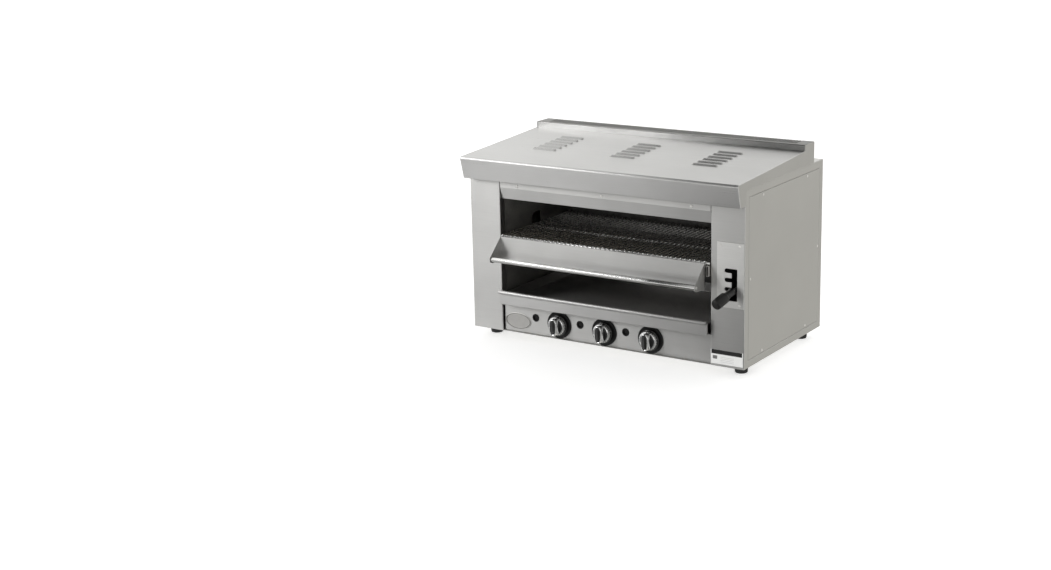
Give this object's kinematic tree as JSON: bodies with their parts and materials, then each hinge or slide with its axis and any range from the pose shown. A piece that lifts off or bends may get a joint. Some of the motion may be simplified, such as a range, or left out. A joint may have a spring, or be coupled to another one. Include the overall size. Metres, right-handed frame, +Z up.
{
  "type": "salamander broiler",
  "caption": "Counter-top gas salamander broiler with overhead burners, a lever-raised pull-out wire rack, a drip tray, rotary taps and a slotted flue riser.",
  "frame": {"origin": "on the floor under the middle of the overall width and depth", "axes": "+Z up, the cooking mouth and knobs face -Y, +X is the lever side"},
  "size_m": [0.917, 0.6047, 0.6005],
  "materials": {
    "body_steel": "brushed stainless sheet, fine grain along the sheet, satin",
    "front_steel": "brushed stainless sheet, upright grain on the posts, satin",
    "hood_steel": "brushed stainless sheet, grain from side to side, satin",
    "heat_dark_steel": "heat-darkened matt steel",
    "burner_steel": "heat-stained steel",
    "burner_ceramic": "perforated matt ceramic",
    "insulation": "matt fibre board",
    "black_plastic": "black moulded thermoset, satin",
    "knob_black": "black moulded thermoset, semi-gloss",
    "badge_metal": "satin anodised plate",
    "label": "white printed foil",
    "pipe_steel": "plain steel pipe",
    "valve_brass": "machined brass",
    "tube_aluminium": "drawn tube",
    "screw_steel": "bright screw heads",
    "shaft_steel": "turned steel",
    "rack_steel": "stained steel",
    "rack_chrome": "chrome-plated wire",
    "handle_chrome": "polished tube",
    "tray_steel": "stainless sheet, bright lip",
    "foot_rubber": "black rubber"
  },
  "bodies": {
    "chassis": {"base_pan": "body_steel", "feet": "foot_rubber", "side_casing_left": "body_steel", "side_casing_right": "body_steel", "side_cover_left": "body_steel", "side_cover_right": "body_steel", "back_panel": "body_steel", "front_post_left": "front_steel", "front_post_right": "front_steel", "gate_plate": "front_steel", "hood": "hood_steel", "flue_riser": "hood_steel", "flue_grille": "hood_steel", "heat_deflector": "front_steel", "front_header": "body_steel", "liner_left": "heat_dark_steel", "liner_right": "heat_dark_steel", "liner_back": "heat_dark_steel", "tray_shelf": "heat_dark_steel", "burner_frame": "heat_dark_steel", "burner_housing_left": "burner_steel", "burner_housing_mid": "burner_steel", "burner_housing_right": "burner_steel", "burner_tile_left": "burner_ceramic", "burner_tile_mid": "burner_ceramic", "burner_tile_right": "burner_ceramic", "burner_screens": "burner_steel", "insulation_board": "insulation", "control_panel": "front_steel", "knob_bezels": "black_plastic", "sight_plugs": "black_plastic", "badge": "badge_metal", "rating_plate": "label", "gas_manifold": "pipe_steel", "gas_inlet": "pipe_steel", "gas_valves": "valve_brass", "supply_tubes": "tube_aluminium", "pilot_tubes": "tube_aluminium", "mixer_tubes": "pipe_steel", "shaft_brackets": "pipe_steel", "cover_screws": "screw_steel", "front_screws": "screw_steel"},
    "lift_lever": {"lift_shaft": "shaft_steel", "lift_arms": "shaft_steel", "lever_hub": "shaft_steel"},
    "lever_handle": {"lever_rod": "shaft_steel", "lever_grip": "black_plastic"},
    "rack_lift_carriage": {"rack_carriage": "rack_steel"},
    "rack": {"rack_grid": "rack_chrome", "splash_panel": "front_steel", "rack_handle": "handle_chrome", "handle_screws": "screw_steel"},
    "tray": {"drip_tray": "tray_steel"},
    "knob_left_body": {"knob_left": "knob_black", "valve_stem_left": "valve_brass"},
    "knob_mid_body": {"knob_mid": "knob_black", "valve_stem_mid": "valve_brass"},
    "knob_right_body": {"knob_right": "knob_black", "valve_stem_right": "valve_brass"}
  },
  "joints": [
    {"name": "rack_lift", "type": "slide", "parent": "chassis", "child": "rack_lift_carriage", "axis": [0, 0, 1], "range_m": [-0.014, 0.028]},
    {"name": "lever_lift", "type": "hinge", "parent": "chassis", "child": "lift_lever", "pos_m": [0, 0.2165, 0.273], "axis": [-1, 0, 0], "range_deg": [-3.7, 7.3]},
    {"name": "lever_sideways", "type": "hinge", "parent": "lift_lever", "child": "lever_handle", "pos_m": [0.426, 0.1845, 0.27165], "axis": [0, 0, 1], "range_deg": [-3.46, 0]},
    {"name": "rack_pull_out", "type": "slide", "parent": "rack_lift_carriage", "child": "rack", "axis": [0, -1, 0], "range_m": [0, 0.16]},
    {"name": "tray_pull_out", "type": "slide", "parent": "chassis", "child": "tray", "axis": [0, -1, 0], "range_m": [0, 0.3]},
    {"name": "knob_left_turn", "type": "hinge", "parent": "chassis", "child": "knob_left_body", "pos_m": [-0.155, -0.2115, 0.0715], "axis": [0, -1, 0], "range_deg": [0, 180]},
    {"name": "knob_mid_turn", "type": "hinge", "parent": "chassis", "child": "knob_mid_body", "pos_m": [0, -0.2115, 0.0715], "axis": [0, -1, 0], "range_deg": [0, 180]},
    {"name": "knob_right_turn", "type": "hinge", "parent": "chassis", "child": "knob_right_body", "pos_m": [0.155, -0.2115, 0.0715], "axis": [0, -1, 0], "range_deg": [0, 180]}
  ],
  "couplings": [
    {"joint": "lever_lift", "follows": "rack_lift", "rad_per_m": 4.4248}
  ]
}
